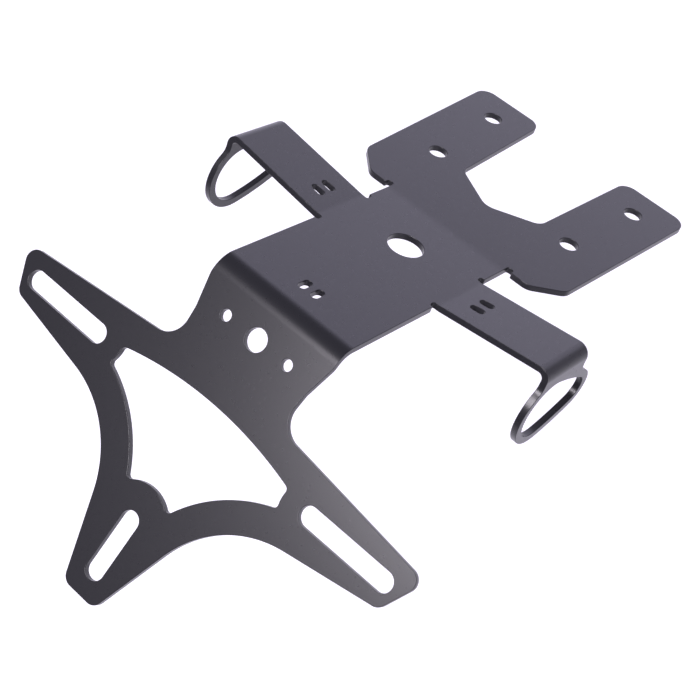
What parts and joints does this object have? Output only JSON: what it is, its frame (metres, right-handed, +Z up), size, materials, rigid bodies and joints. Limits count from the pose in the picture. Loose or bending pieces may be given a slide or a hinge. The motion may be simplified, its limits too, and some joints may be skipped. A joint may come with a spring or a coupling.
{
  "type": "tail tidy",
  "caption": "Folded sheet bracket for a motorcycle tail: forked mount, deck with two indicator ring arms, and a slotted hanger for the number plate.",
  "frame": {"origin": "middle of the fork's rear pair of bolt holes, on the fork's top face", "axes": "+X to the right, +Y forwards to the fork tips, +Z up out of the fork plate"},
  "size_m": [0.1634, 0.2261, 0.0902],
  "materials": {
    "powder_coat": "satin black powder coat"
  },
  "bodies": {
    "root": {"tail_tidy_plate": "powder_coat"}
  },
  "joints": []
}
